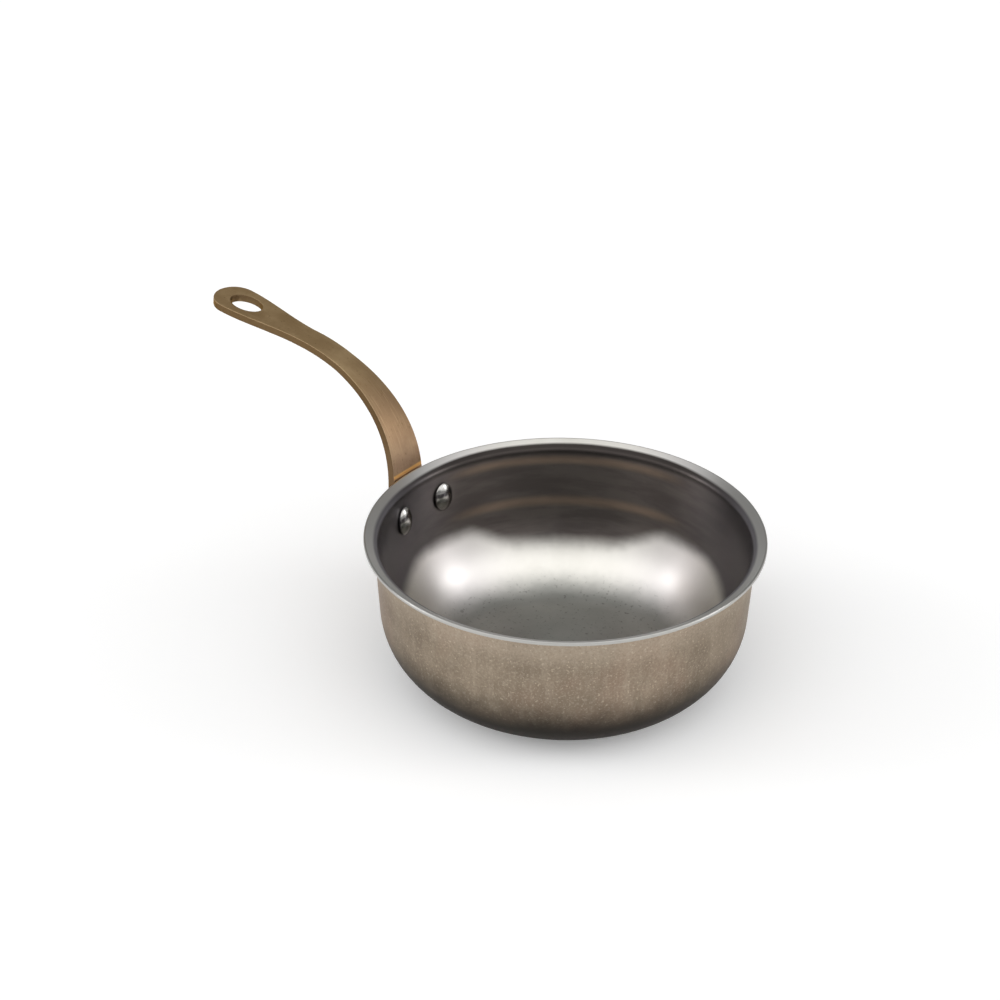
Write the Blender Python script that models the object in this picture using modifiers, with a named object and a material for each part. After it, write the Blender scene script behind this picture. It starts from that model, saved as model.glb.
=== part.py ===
"""A small frying pan: a steel lining with a turned-over lip, a bronze outer shell round it,
and an arched brass handle with a hanging hole, held by two dome-headed rivets.

The origin is the middle of the flat underside. The handle reaches out along -X, and +Z is up.
"""

import math

import bmesh
import bpy
from mathutils import Matrix, Vector

# Bowl
PAN_HEIGHT = 0.0646
LIP_RADIUS = 0.080
# How far the lip stands out past the wall, carried straight up to the lip's height
LIP_REACH = 0.0039
WALL_LEAN = math.radians(3.15)
CORNER_RADIUS = 0.033
# The lip bends out sharply round the top of the wall, and then runs straight up to its rim
LIP_SLOPE = math.radians(30)
LIP_BEND = 0.0005
LIP_ROUNDING = 0.0003
HEM_WIDTH = 0.0008
HEM_DEPTH = 0.0020
LINING_SHEET = 0.0006
SHELL_SHEET = 0.0007

# Space between pieces that are pressed together
CLEARANCE = 0.0003

# Rivets
RIVET_DROP = 0.0152
RIVET_SPACING = 0.0258
HEAD_DIAMETER = 0.0112
HEAD_HEIGHT = 0.0026
HEAD_RIM = 0.0006
SHANK_DIAMETER = 0.005
TAIL_DIAMETER = 0.0078
TAIL_HEIGHT = 0.0014

# Handle
HANDLE_THICKNESS = 0.0032
# From the lip out to the tip
HANDLE_REACH = 0.1035
HANDLE_SLOPE = math.radians(8.7)
BEND_REACH = 0.0508
BEND_RISE = 0.0474
BEND_PULL_UP = 0.0352
BEND_PULL_OUT = 0.0200
NECK_WIDTH = 0.0186
WAIST_WIDTH = 0.0110
END_WIDTH = 0.0192
# Lengths along the arm: lip to waist, the narrow stretch, and its spread to the end's full width
NECK_TAPER = 0.060
WAIST_LENGTH = 0.022
END_SPREAD = 0.040
HOLE_LENGTH = 0.0158
HOLE_WIDTH = 0.0108
# Metal left between the hole and the tip
HOLE_MARGIN = 0.0080
EDGE_ROUNDING = 0.0008

# Plate of the handle that lies against the wall
FLANGE_THICKNESS = 0.0030
FLANGE_HEIGHT = 0.0180
FLANGE_MARGIN = 0.0070
FLANGE_CORNER = 0.0075
ARM_FOOT_LIFT = 0.0030
# Where the arm leaves the wall, below the underside of the lip, and the web behind it
ARM_DROP = 0.0015
WEB_DROP = 0.0008
WEB_INSET = 0.0014

TURN_STEPS = 64
RIVET_STEPS = 24
HOLE_STEPS = 28

SANDWICH = LINING_SHEET + CLEARANCE + SHELL_SHEET
WALL_RADIUS = LIP_RADIUS - LIP_REACH
RIVET_HEIGHT = PAN_HEIGHT - RIVET_DROP


def wall_at(height, inset=0.0):
    """Radius of the leaning wall at a height, so far inside its outer surface."""
    return WALL_RADIUS - math.tan(WALL_LEAN) * (PAN_HEIGHT - height) - inset / math.cos(WALL_LEAN)


def lip_centre():
    """The bend between wall and lip turns round this point, close under the lip.

    It lies beside the leaning wall, and so low that the lip's upper face ends at the pan's full height.
    """
    around = LIP_BEND + SANDWICH
    climb = math.tan(LIP_SLOPE)
    lean = math.tan(WALL_LEAN)
    straight = wall_at(0.0, -LIP_BEND)
    reach = LIP_RADIUS - straight + around * math.sin(LIP_SLOPE)
    height = (PAN_HEIGHT - around * math.cos(LIP_SLOPE) - climb * reach) / (1 - climb * lean)
    return straight + lean * height, height


def skin(inset, lip_end):
    """Profile of one skin of the bowl, from its end under or on the lip down to the axis.

    The inset is counted from the outer surface inwards, so a negative one lies outside it.
    """
    radius, height = lip_centre()
    bend = LIP_BEND + inset
    points = []
    steps = 5
    for step in range(steps + 1):
        turn = math.radians(90) - LIP_SLOPE + (WALL_LEAN - math.radians(90) + LIP_SLOPE) * step / steps
        points.append((radius - bend * math.cos(turn), height + bend * math.sin(turn)))
    climb = math.tan(LIP_SLOPE) * (lip_end - points[0][0])
    points.insert(0, (lip_end, points[0][1] + climb))
    corner = CORNER_RADIUS - inset
    middle = wall_at(CORNER_RADIUS) - CORNER_RADIUS / math.cos(WALL_LEAN)
    steps = 8
    for step in range(steps + 1):
        turn = -WALL_LEAN + (WALL_LEAN - math.radians(90)) * step / steps
        points.append((middle + corner * math.cos(turn), CORNER_RADIUS + corner * math.sin(turn)))
    points.append((0.0, inset))
    return points


def material(name, colour, metallic, roughness):
    made = bpy.data.materials.new(name)
    made.use_nodes = True
    shader = made.node_tree.nodes["Principled BSDF"]
    shader.inputs["Base Color"].default_value = (*colour, 1.0)
    shader.inputs["Metallic"].default_value = metallic
    shader.inputs["Roughness"].default_value = roughness
    made.diffuse_color = (*colour, 1.0)
    return made


def add_object(name, mesh, collection):
    made = bpy.data.objects.new(name, mesh)
    collection.objects.link(made)
    if collection == cutters:
        made.hide_render = True
        made.display_type = "WIRE"
    return made


def turned(name, points, steps, collection):
    """A profile in the XZ plane, turned round Z by a Screw modifier."""
    mesh = bpy.data.meshes.new(name)
    edges = [(i, i + 1) for i in range(len(points) - 1)]
    mesh.from_pydata([(x, 0.0, z) for x, z in points], edges, [])
    made = add_object(name, mesh, collection)
    screw = made.modifiers.new("Turn", "SCREW")
    screw.steps = steps
    screw.render_steps = steps
    screw.use_merge_vertices = True
    screw.merge_threshold = 0.00001
    screw.use_smooth_shade = True
    return made


def cut(target, other, operation="DIFFERENCE"):
    boolean = target.modifiers.new(f"{operation.title()} {other.name}", "BOOLEAN")
    boolean.operation = operation
    boolean.solver = "EXACT"
    boolean.object = other


def round_edges(target, width, segments):
    bevel = target.modifiers.new("Rounded edges", "BEVEL")
    bevel.width = width
    bevel.segments = segments
    bevel.limit_method = "ANGLE"
    bevel.angle_limit = math.radians(50)


def prism(name, outline, depth, place):
    """A flat outline as a filled curve with thickness, made a mesh so that it can be cut and joined."""
    curve = bpy.data.curves.new(name, "CURVE")
    curve.dimensions = "2D"
    curve.fill_mode = "BOTH"
    curve.extrude = depth / 2
    spline = curve.splines.new("POLY")
    spline.points.add(len(outline) - 1)
    for point, (x, y) in zip(spline.points, outline):
        point.co = (x, y, 0.0, 1.0)
    spline.use_cyclic_u = True
    guide = bpy.data.objects.new(name + "_outline", curve)
    cutters.objects.link(guide)
    guide.matrix_world = place
    bpy.context.view_layer.update()
    graph = bpy.context.evaluated_depsgraph_get()
    mesh = bpy.data.meshes.new_from_object(guide.evaluated_get(graph))
    mesh.name = name
    shape = bmesh.new()
    shape.from_mesh(mesh)
    bmesh.ops.remove_doubles(shape, verts=shape.verts, dist=1e-6)
    bmesh.ops.recalc_face_normals(shape, faces=shape.faces)
    shape.to_mesh(mesh)
    shape.free()
    made = add_object(name, mesh, cutters)
    made.matrix_world = place
    bpy.data.objects.remove(guide)
    return made


def cylinder(name, radius, length, place, segments):
    """A cutter along its own Z, centred on its place."""
    shape = bmesh.new()
    bmesh.ops.create_cone(
        shape,
        cap_ends=True,
        segments=segments,
        radius1=radius,
        radius2=radius,
        depth=length,
    )
    mesh = bpy.data.meshes.new(name)
    shape.to_mesh(mesh)
    shape.free()
    made = add_object(name, mesh, cutters)
    made.matrix_world = place
    return made


# Arm of the handle: one curve up from the plate and round the bend, then a straight run to the tip

ARM_INSIDE = LIP_RADIUS + CLEARANCE
LIP_UNDERSIDE = PAN_HEIGHT - HEM_DEPTH - CLEARANCE
ARM_START = LIP_UNDERSIDE - ARM_DROP
FOOT_HEIGHT = RIVET_HEIGHT - FLANGE_HEIGHT / 2 + ARM_FOOT_LIFT


def foot_inside():
    """Radius of the arm's inner face at its foot, sunk into the plate by a little over half of it."""
    plate = wall_at(FOOT_HEIGHT) + CLEARANCE
    return plate + FLANGE_THICKNESS * 0.45


def bezier(ends, count):
    points = []
    for step in range(count + 1):
        t = step / count
        parts = ((1 - t) ** 3, 3 * t * (1 - t) ** 2, 3 * t * t * (1 - t), t ** 3)
        points.append(sum((part * end for part, end in zip(parts, ends)), Vector((0.0, 0.0))))
    return points


def arm_path():
    """Points (reach, height) along the middle of the arm's upper face, from its foot to its tip."""
    foot = Vector((foot_inside(), FOOT_HEIGHT))
    start = Vector((ARM_INSIDE, ARM_START))
    rise = (start.y - foot.y) * 0.5
    up = Vector((0.0, 1.0))
    slope = Vector((math.cos(HANDLE_SLOPE), math.sin(HANDLE_SLOPE)))
    knee = Vector((ARM_INSIDE + BEND_REACH, PAN_HEIGHT + BEND_RISE))
    points = bezier((foot, foot + up * rise, start - up * rise, start), 6)
    points += bezier((start, start + up * BEND_PULL_UP, knee - slope * BEND_PULL_OUT, knee), 16)[1:]
    run = (LIP_RADIUS + HANDLE_REACH - knee.x) / slope.x
    spread = 10
    turn_in = END_WIDTH / 2
    points += [knee + slope * (run - turn_in) * step / spread for step in range(1, spread + 1)]
    for step in range(1, 9):
        points.append(knee + slope * (run - turn_in + turn_in * math.sin(math.radians(90) * step / 8)))
    return points


def lengths_along(points):
    total = [0.0]
    for first, second in zip(points, points[1:]):
        total.append(total[-1] + (second - first).length)
    return total


def rivet_turn():
    """Angle at the axis between the handle's middle plane and one rivet."""
    return math.asin(RIVET_SPACING / 2 / wall_at(RIVET_HEIGHT, SANDWICH))


def rivet_offset():
    """How far a rivet's tail lies to one side of the handle's middle plane."""
    return (wall_at(RIVET_HEIGHT) + CLEARANCE + FLANGE_THICKNESS) * math.sin(rivet_turn())


def smooth(t):
    t = min(max(t, 0.0), 1.0)
    return t * t * (3 - 2 * t)


def half_width(along, at_lip, whole):
    """Half the arm's width at a length along it."""
    foot = min(NECK_WIDTH / 2, rivet_offset() - TAIL_DIAMETER / 2 - CLEARANCE * 2)
    if along < at_lip:
        return foot + (NECK_WIDTH / 2 - foot) * smooth(along / at_lip)
    along -= at_lip
    whole -= at_lip
    waist = WAIST_WIDTH / 2
    end = END_WIDTH / 2
    if along < NECK_TAPER:
        share = along / NECK_TAPER
        return NECK_WIDTH / 2 + (waist - NECK_WIDTH / 2) * (0.75 * share + 0.25 * smooth(share))
    if along < NECK_TAPER + WAIST_LENGTH:
        return waist
    width = waist + (end - waist) * smooth((along - NECK_TAPER - WAIST_LENGTH) / END_SPREAD)
    left = whole - along
    if left < end:
        width *= math.sqrt(max(end * end - (end - left) ** 2, 0.0)) / end
    return width


def arm_blank():
    """A strip of quads bent along the arm's path, with the tip's last row drawn to a point."""
    path = arm_path()
    along = lengths_along(path)
    at_lip = next(total for total, point in zip(along, path) if point.y >= ARM_START - 1e-6)
    across = 4
    shape = bmesh.new()
    bmesh.ops.create_grid(shape, x_segments=len(path) - 1, y_segments=across, size=0.5)
    for vert in shape.verts:
        station = round((vert.co.x + 0.5) * (len(path) - 1))
        side = vert.co.y * 2
        reach, height = path[station]
        width = half_width(along[station], at_lip, along[-1])
        vert.co = (-reach, side * width, height)
    bmesh.ops.remove_doubles(shape, verts=shape.verts, dist=1e-6)
    bmesh.ops.recalc_face_normals(shape, faces=shape.faces)
    if sum((face.normal.z * face.calc_area() for face in shape.faces), 0.0) < 0:
        bmesh.ops.reverse_faces(shape, faces=shape.faces)
    mesh = bpy.data.meshes.new("handle")
    shape.to_mesh(mesh)
    shape.free()
    mesh.shade_smooth()
    made = add_object("handle", mesh, pan)
    solidify = made.modifiers.new("Thickness", "SOLIDIFY")
    solidify.thickness = HANDLE_THICKNESS
    solidify.offset = -1.0
    return made


def hole_cutter():
    """Oval hole whose two rims are rounded as the arm's edges are."""
    bore = HOLE_WIDTH / 2
    face = HANDLE_THICKNESS / 2
    rim = EDGE_ROUNDING
    side = []
    for degrees in (120, 150, 180):
        turn = math.radians(degrees)
        side.append((bore + rim + rim * math.cos(turn), face - rim + rim * math.sin(turn)))
    tangent = math.radians(30)
    side.insert(0, (side[0][0] + rim * math.cos(tangent), side[0][1] + rim * math.sin(tangent)))
    side += [(radius, -height) for radius, height in reversed(side)]
    profile = [(0.0, side[0][1])] + side + [(0.0, side[-1][1])]
    made = turned("hanging_hole", profile, HOLE_STEPS, cutters)
    made.matrix_world = hole_place() @ Matrix.Diagonal((HOLE_LENGTH / HOLE_WIDTH, 1.0, 1.0, 1.0))
    return made


def hole_place():
    """Middle of the hanging hole in the arm, with its own Z square to the arm's face."""
    back = HOLE_MARGIN + HOLE_LENGTH / 2
    tip = arm_path()[-1]
    slope = Vector((math.cos(HANDLE_SLOPE), math.sin(HANDLE_SLOPE)))
    down = Vector((math.sin(HANDLE_SLOPE), -math.cos(HANDLE_SLOPE)))
    middle = tip - slope * back + down * HANDLE_THICKNESS / 2
    turn = Matrix.Rotation(HANDLE_SLOPE, 4, "Y")
    return Matrix.Translation((-middle.x, 0.0, middle.y)) @ turn


def rounded_outline(width, height, corner):
    points = []
    for start, sx, sy in ((0, 1, 1), (90, -1, 1), (180, -1, -1), (270, 1, -1)):
        for step in range(7):
            turn = math.radians(start + 15 * step)
            x = sx * (width / 2 - corner) + corner * math.cos(turn)
            y = sy * (height / 2 - corner) + corner * math.sin(turn)
            points.append((x, y))
    return points


def flange_blank():
    """Plate with round corners, its outer face bent round the wall, and its inner one still to be cut."""
    width = 2 * (rivet_offset() + FLANGE_MARGIN)
    outline = rounded_outline(width, FLANGE_HEIGHT, min(FLANGE_CORNER, FLANGE_HEIGHT / 2 - 0.0005))
    depth = 0.4 * WALL_RADIUS
    upright = Matrix(((0, 0, 1, 0), (1, 0, 0, 0), (0, 1, 0, 0), (0, 0, 0, 1)))
    place = Matrix.Translation((-wall_at(RIVET_HEIGHT), 0.0, RIVET_HEIGHT)) @ upright
    made = prism("flange_blank", outline, depth, place)
    low = RIVET_HEIGHT - FLANGE_HEIGHT
    high = RIVET_HEIGHT + FLANGE_HEIGHT
    outward = -CLEARANCE - FLANGE_THICKNESS
    shape = [(0.0, high), (wall_at(high, outward), high), (wall_at(low, outward), low), (0.0, low)]
    cut(made, turned("flange_round", shape, TURN_STEPS, cutters), "INTERSECT")
    round_edges(made, EDGE_ROUNDING, 2)
    return made


def web_blank():
    """Fills the space between the arm's inner face and the wall, under the lip."""
    path = arm_path()
    foot, start = path[0], path[6]
    deep = 0.6 * HANDLE_THICKNESS
    back = wall_at(foot.y) - SANDWICH * 2
    low = foot.y + HANDLE_THICKNESS * 0.3
    high = LIP_UNDERSIDE - WEB_DROP
    outline = [(back, low), (foot.x + deep * 0.5, low), (start.x + deep, high), (back, high)]
    upright = Matrix(((-1, 0, 0, 0), (0, 0, 1, 0), (0, 1, 0, 0), (0, 0, 0, 1)))
    foot_half = half_width(0.0, 1.0, 2.0)
    return prism("web_blank", outline, 2 * (foot_half - WEB_INSET), upright)


def rivet(name, side):
    """Dome head inside the bowl, shank through both sheets and the plate, flat tail outside.

    Its own Z points into the bowl, square to the wall, and its origin is on the wall's outer surface.
    """
    head = HEAD_DIAMETER / 2
    shank = SHANK_DIAMETER / 2
    tail = TAIL_DIAMETER / 2
    inner = wall_at(RIVET_HEIGHT, SANDWICH)
    hollow = inner - math.sqrt(inner * inner - head * head)
    seat = SANDWICH + CLEARANCE + hollow
    foot = -(CLEARANCE + FLANGE_THICKNESS + CLEARANCE)
    rise = HEAD_HEIGHT - HEAD_RIM
    ball = (head * head + rise * rise) / (2 * rise)
    reach = math.asin(head / ball)
    points = []
    for step in range(8):
        turn = reach * step / 7
        points.append((ball * math.sin(turn), seat + HEAD_HEIGHT - ball * (1 - math.cos(turn))))
    points.append((head, seat))
    points.append((shank, seat))
    points.append((shank, foot))
    points.append((tail, foot))
    points.append((tail, foot - TAIL_HEIGHT * 0.6))
    points.append((tail * 0.86, foot - TAIL_HEIGHT))
    points.append((0.0, foot - TAIL_HEIGHT))
    points[0] = (0.0, points[0][1])
    made = turned(name, points, RIVET_STEPS, pan)
    made.matrix_world = rivet_place(side)
    return made


def rivet_place(side):
    azimuth = math.radians(180) + side * rivet_turn()
    out = Vector((math.cos(azimuth), math.sin(azimuth), 0.0))
    spot = out * wall_at(RIVET_HEIGHT) + Vector((0.0, 0.0, RIVET_HEIGHT))
    inward = -out * math.cos(WALL_LEAN) + Vector((0.0, 0.0, math.sin(WALL_LEAN)))
    return Matrix.Translation(spot) @ inward.to_track_quat("Z", "Y").to_matrix().to_4x4()


for old in list(bpy.data.objects):
    bpy.data.objects.remove(old, do_unlink=True)

pan = bpy.data.collections.new("frying_pan")
cutters = bpy.data.collections.new("cutters")
bpy.context.scene.collection.children.link(pan)
bpy.context.scene.collection.children.link(cutters)

steel = material("satin_steel", (0.33, 0.33, 0.31), 1.0, 0.32)
bronze = material("aged_bronze", (0.28, 0.20, 0.135), 1.0, 0.42)
brass = material("aged_brass", (0.26, 0.165, 0.075), 1.0, 0.40)
bright = material("bright_steel", (0.62, 0.61, 0.58), 1.0, 0.22)

# Lining: up the inside, over the lip, down its turned edge and back under
hem_inside = LIP_RADIUS - HEM_WIDTH
hem_foot = PAN_HEIGHT - HEM_DEPTH
inside = skin(SANDWICH, LIP_RADIUS - LIP_ROUNDING)
underside = skin(SANDWICH - LINING_SHEET, hem_inside)
hem = [
    (LIP_RADIUS, inside[0][1] - LIP_ROUNDING),
    (LIP_RADIUS, hem_foot + LIP_ROUNDING),
    (LIP_RADIUS - LIP_ROUNDING, hem_foot),
    (hem_inside, hem_foot),
]
lining = turned("steel_lining", list(reversed(inside)) + hem + underside, TURN_STEPS, pan)

# Shell: outside the lining, its edge stopping short of the hem
shell_edge = hem_inside - CLEARANCE
shell_inside = skin(SHELL_SHEET, shell_edge)
shell_outside = skin(0.0, shell_edge)
shell = turned("outer_shell", list(reversed(shell_inside)) + shell_outside, TURN_STEPS, pan)

# Room that the handle leaves round the bowl, and above the lip, where the arm itself stands further out
room_edge = LIP_RADIUS + CLEARANCE / 2
room = [(0.0, PAN_HEIGHT * 1.6), (room_edge, PAN_HEIGHT * 1.6)]
room += skin(-CLEARANCE, room_edge)
bowl_room = turned("bowl_room", room, TURN_STEPS, cutters)

handle = arm_blank()
round_edges(handle, EDGE_ROUNDING, 2)
cut(handle, hole_cutter())
cut(handle, flange_blank(), "UNION")
cut(handle, web_blank(), "UNION")
cut(handle, bowl_room)

rivets = []
for name, side in (("rivet_left", 1), ("rivet_right", -1)):
    rivets.append(rivet(name, side))
    bore = cylinder(
        name + "_hole",
        SHANK_DIAMETER / 2 + CLEARANCE,
        SANDWICH * 4 + FLANGE_THICKNESS * 4,
        rivet_place(side),
        RIVET_STEPS,
    )
    for sheet in (lining, shell, handle):
        cut(sheet, bore)

for piece, finish in ((lining, steel), (shell, bronze), (handle, brass), (rivets[0], bright), (rivets[1], bright)):
    piece.data.materials.append(finish)
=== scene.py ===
# %% [markdown]
# # A small frying pan in Blender
#
# The pan has a steel lining whose lip is turned over, a bronze-coloured shell pressed round it,
# an arched brass handle, and two domed rivets that hold the handle to the wall.
# The engineering model gives every size and place. This file adds the fine surfaces,
# the finishes, the studio and the camera. It is read from top to bottom, a cell at a time.

# %% Load the engineering model
import math

import bpy
from mathutils import Matrix, Vector


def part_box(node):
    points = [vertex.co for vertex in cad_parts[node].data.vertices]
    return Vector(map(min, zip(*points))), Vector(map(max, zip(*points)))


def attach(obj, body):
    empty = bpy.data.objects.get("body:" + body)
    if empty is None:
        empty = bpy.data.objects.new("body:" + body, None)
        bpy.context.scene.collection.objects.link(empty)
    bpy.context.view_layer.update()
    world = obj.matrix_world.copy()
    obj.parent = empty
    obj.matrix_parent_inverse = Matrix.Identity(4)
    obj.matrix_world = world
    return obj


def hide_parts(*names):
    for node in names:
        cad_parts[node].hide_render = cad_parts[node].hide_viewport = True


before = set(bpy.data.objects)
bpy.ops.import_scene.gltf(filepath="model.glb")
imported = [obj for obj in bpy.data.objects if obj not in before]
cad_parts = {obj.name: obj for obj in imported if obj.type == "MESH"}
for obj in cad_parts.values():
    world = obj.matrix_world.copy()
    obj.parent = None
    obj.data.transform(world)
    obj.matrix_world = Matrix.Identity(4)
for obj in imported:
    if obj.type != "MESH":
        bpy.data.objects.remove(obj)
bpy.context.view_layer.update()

# %% [markdown]
# ## The camera
#
# A product photographer stands well back with a long lens, so that the round lip isn't distorted.
# The camera looks down on the pan by thirty degrees, with the handle pointing away to the left.
# It could be aimed by a constraint, but plain numbers keep it where it is when the pan changes.
# The small shift slides the picture sideways without turning the lens.

# %% Camera
CAMERA_SPOT = (0.3927, -0.5672, 0.4697)
CAMERA_TURN = [math.radians(turn) for turn in (60.405, -0.119, 36.954)]
LENS_LENGTH = 72.5
LENS_SHIFT = 0.0013
bpy.ops.object.camera_add(location=CAMERA_SPOT, rotation=CAMERA_TURN)
camera = bpy.context.object
camera.name = "camera"
camera.data.lens = LENS_LENGTH
camera.data.shift_x = LENS_SHIFT
bpy.context.scene.camera = camera
bpy.context.scene.view_settings.view_transform = "Standard"
print("Camera stands", round(camera.location.length, 2), "m from the pan")

# %% [markdown]
# ## Helpers for every piece
#
# Blender's operators act on whatever is selected, so each piece starts with nothing selected.
# A finished piece has its place in its mesh, its doubled points merged and its faces outwards.
# Each of these could be done by hand in the menus, but a function does it the same way each time.

# %% Helpers
TOUCH = 0.000001


def start_clean():
    if bpy.context.mode != "OBJECT":
        bpy.ops.object.mode_set(mode="OBJECT")
    bpy.ops.object.select_all(action="DESELECT")


def choose(piece):
    start_clean()
    piece.select_set(True)
    bpy.context.view_layer.objects.active = piece


def settle(piece):
    """Puts the piece's place, turn and scale into its mesh, and leaves its object at the origin."""
    choose(piece)
    bpy.ops.object.transform_apply(location=True, rotation=True, scale=True)


def outward(piece):
    choose(piece)
    bpy.ops.object.mode_set(mode="EDIT")
    bpy.ops.mesh.select_all(action="SELECT")
    bpy.ops.mesh.remove_doubles(threshold=TOUCH)
    bpy.ops.mesh.normals_make_consistent(inside=False)
    bpy.ops.object.mode_set(mode="OBJECT")


print("Points closer than", TOUCH * 1000, "mm are merged")

# %% [markdown]
# ## Raising a round piece
#
# Sheet metal is spun over a wooden form while it turns, so every section of the bowl is a circle.
# Here a disc is added, and its rim is extruded and resized again and again, ring by ring.
# A Screw modifier would also do it, but rings pulled up by hand are easier to follow and to change.

# %% Raise rings from a disc
def raise_rings(name, rings, steps):
    """Adds a disc at the first (radius, height) and pulls its rim through the others."""
    start_clean()
    radius, height = rings[0]
    bpy.ops.mesh.primitive_circle_add(
        vertices=steps, radius=radius, fill_type="TRIFAN", location=(0.0, 0.0, height)
    )
    piece = bpy.context.object
    piece.name = name
    settle(piece)
    bpy.ops.object.mode_set(mode="EDIT")
    bpy.ops.mesh.select_all(action="DESELECT")
    bpy.ops.mesh.select_mode(type="EDGE")
    bpy.ops.mesh.select_non_manifold(
        extend=False, use_wire=False, use_multi_face=False, use_non_contiguous=False, use_verts=False
    )
    for next_radius, next_height in rings[1:]:
        rise = (0.0, 0.0, next_height - height)
        bpy.ops.mesh.extrude_region_move(TRANSFORM_OT_translate={"value": rise})
        grow = next_radius / radius
        centre = (0.0, 0.0, next_height)
        bpy.ops.transform.resize(value=(grow, grow, 1.0), center_override=centre)
        radius, height = next_radius, next_height
    bpy.ops.mesh.extrude_region_move()
    bpy.ops.mesh.merge(type="CENTER")
    outward(piece)
    return piece


# %% [markdown]
# ## The bowl's sizes
#
# Lining and shell are two skins of one sandwich, bonded on the real pan. They could be measured
# from the engineering model's mesh, but named sizes show what belongs together. All are in metres.
# The wall is a straight line that leans out, so its radius follows from the height.

# %% Sizes and wall of the bowl
PAN_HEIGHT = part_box("steel_lining")[1].z
LIP_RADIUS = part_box("steel_lining")[1].x
LIP_REACH = 0.0039
LIP_SLOPE = math.radians(30)
LIP_BEND = 0.0005
WALL_LEAN = math.radians(3.15)
CORNER_RADIUS = 0.033
LINING_SHEET = 0.0006
SHELL_SHEET = 0.0007
CLEARANCE = 0.0003
SANDWICH = LINING_SHEET + CLEARANCE + SHELL_SHEET
TURN_STEPS = 192


def wall_at(height, inset=0.0):
    """Radius of the leaning wall at a height, so far inside its outer surface."""
    straight = LIP_RADIUS - LIP_REACH - math.tan(WALL_LEAN) * (PAN_HEIGHT - height)
    return straight - inset / math.cos(WALL_LEAN)


print("Wall at mid height:", round(wall_at(PAN_HEIGHT / 2) * 1000, 1), "mm from the axis")

# %% [markdown]
# ## The outline of one skin
#
# Both skins have the same flat floor, round corner, leaning wall and flared lip, each a little
# further in or out. Two drawn curves would do, but they would drift apart at the first change.
# So one function gives the outline at any depth, made of two arcs and the straight lines between.

# %% Outline
CORNER_STEPS = 22
WALL_STEPS = 8
LIP_STEPS = 14


def arc(centre, radius, start, end, steps):
    """Points (radius, height) on an arc, with its angles in degrees from straight out."""
    turns = [math.radians(start + (end - start) * step / steps) for step in range(steps + 1)]
    return [(centre[0] + radius * math.cos(t), centre[1] + radius * math.sin(t)) for t in turns]


def line_between(low, high, steps):
    """Points on a straight line, without its two ends."""
    shares = [step / steps for step in range(1, steps)]
    return [tuple(a + (b - a) * share for a, b in zip(low, high)) for share in shares]


def lip_centre():
    """The bend between wall and lip turns round this point, close under the lip."""
    around = LIP_BEND + SANDWICH
    climb, lean = math.tan(LIP_SLOPE), math.tan(WALL_LEAN)
    straight = wall_at(0.0, -LIP_BEND)
    reach = LIP_RADIUS - straight + around * math.sin(LIP_SLOPE)
    height = (PAN_HEIGHT - around * math.cos(LIP_SLOPE) - climb * reach) / (1 - climb * lean)
    return straight + lean * height, height


def skin(inset, lip_end):
    """Outline of one skin, from the rim of the flat floor up to where it ends in the lip."""
    lean = math.degrees(WALL_LEAN)
    corner = (wall_at(CORNER_RADIUS) - CORNER_RADIUS / math.cos(WALL_LEAN), CORNER_RADIUS)
    low = arc(corner, CORNER_RADIUS - inset, -90, -lean, CORNER_STEPS)
    high = arc(lip_centre(), LIP_BEND + inset, 180 - lean, 90 + math.degrees(LIP_SLOPE), LIP_STEPS)
    end = (lip_end, high[-1][1] + math.tan(LIP_SLOPE) * (lip_end - high[-1][0]))
    return low + line_between(low[-1], high[0], WALL_STEPS) + high + [end]


print("The lip bends out", round(lip_centre()[1] * 1000, 1), "mm above the table")

# %% [markdown]
# ## The steel lining
#
# The lining's sheet runs up the inside, over the lip, and is folded down over the shell's edge.
# That fold, the hem, is what shows as a bright line round the pan, so it gets a real round edge.
# A bevel would round it too, but two arcs in the outline cost fewer faces.

# %% Lining
HEM_WIDTH = 0.0008
HEM_DEPTH = 0.0020
HEM_ROUND = 0.0006
HEM_FOOT_ROUND = 0.0004
HAIR = 0.0001
hem_inside = LIP_RADIUS - HEM_WIDTH
hem_foot = PAN_HEIGHT - HEM_DEPTH
turn_in = HEM_ROUND * math.tan(math.radians(45) + LIP_SLOPE / 2)
top = (LIP_RADIUS - HEM_ROUND, PAN_HEIGHT - turn_in)
foot = (LIP_RADIUS - HEM_FOOT_ROUND, hem_foot + HEM_FOOT_ROUND)
lining_rings = skin(SANDWICH, LIP_RADIUS - HEM_ROUND - HEM_ROUND * math.sin(LIP_SLOPE) - HAIR)
lining_rings += arc(top, HEM_ROUND, 90 + math.degrees(LIP_SLOPE), 0, 8)
lining_rings += arc(foot, HEM_FOOT_ROUND, 0, -90, 4)
lining_rings.append((hem_inside, hem_foot))
lining_rings += reversed(skin(SANDWICH - LINING_SHEET, hem_inside))
lining = raise_rings("lining", lining_rings, TURN_STEPS)
print("Lining:", len(lining_rings), "rings,", len(lining.data.polygons), "faces")

# %% [markdown]
# ## The bronze shell
#
# The shell is the outer skin, pressed round the lining, and its edge stops just inside the hem.
# A Solidify on one surface would give it its thickness. The outline has both of its faces instead,
# so that its edge ends square, as a sheared sheet does.

# %% Shell
shell_edge = hem_inside - CLEARANCE
shell_rings = skin(SHELL_SHEET, shell_edge)
shell_rings += reversed(skin(0.0, shell_edge))
shell = raise_rings("shell", shell_rings, TURN_STEPS)
print("Shell:", len(shell_rings), "rings,", len(shell.data.polygons), "faces")

# %% [markdown]
# ## The handle's sizes
#
# The handle is one flat bar, bent by hand: up the wall, over in an arch, then almost level to its
# tip. At its foot it is forged out into a plate for two rivets, so the sizes of plate and rivets
# come first: they say how wide the bar may be where it passes between the rivets' tails.

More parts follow.
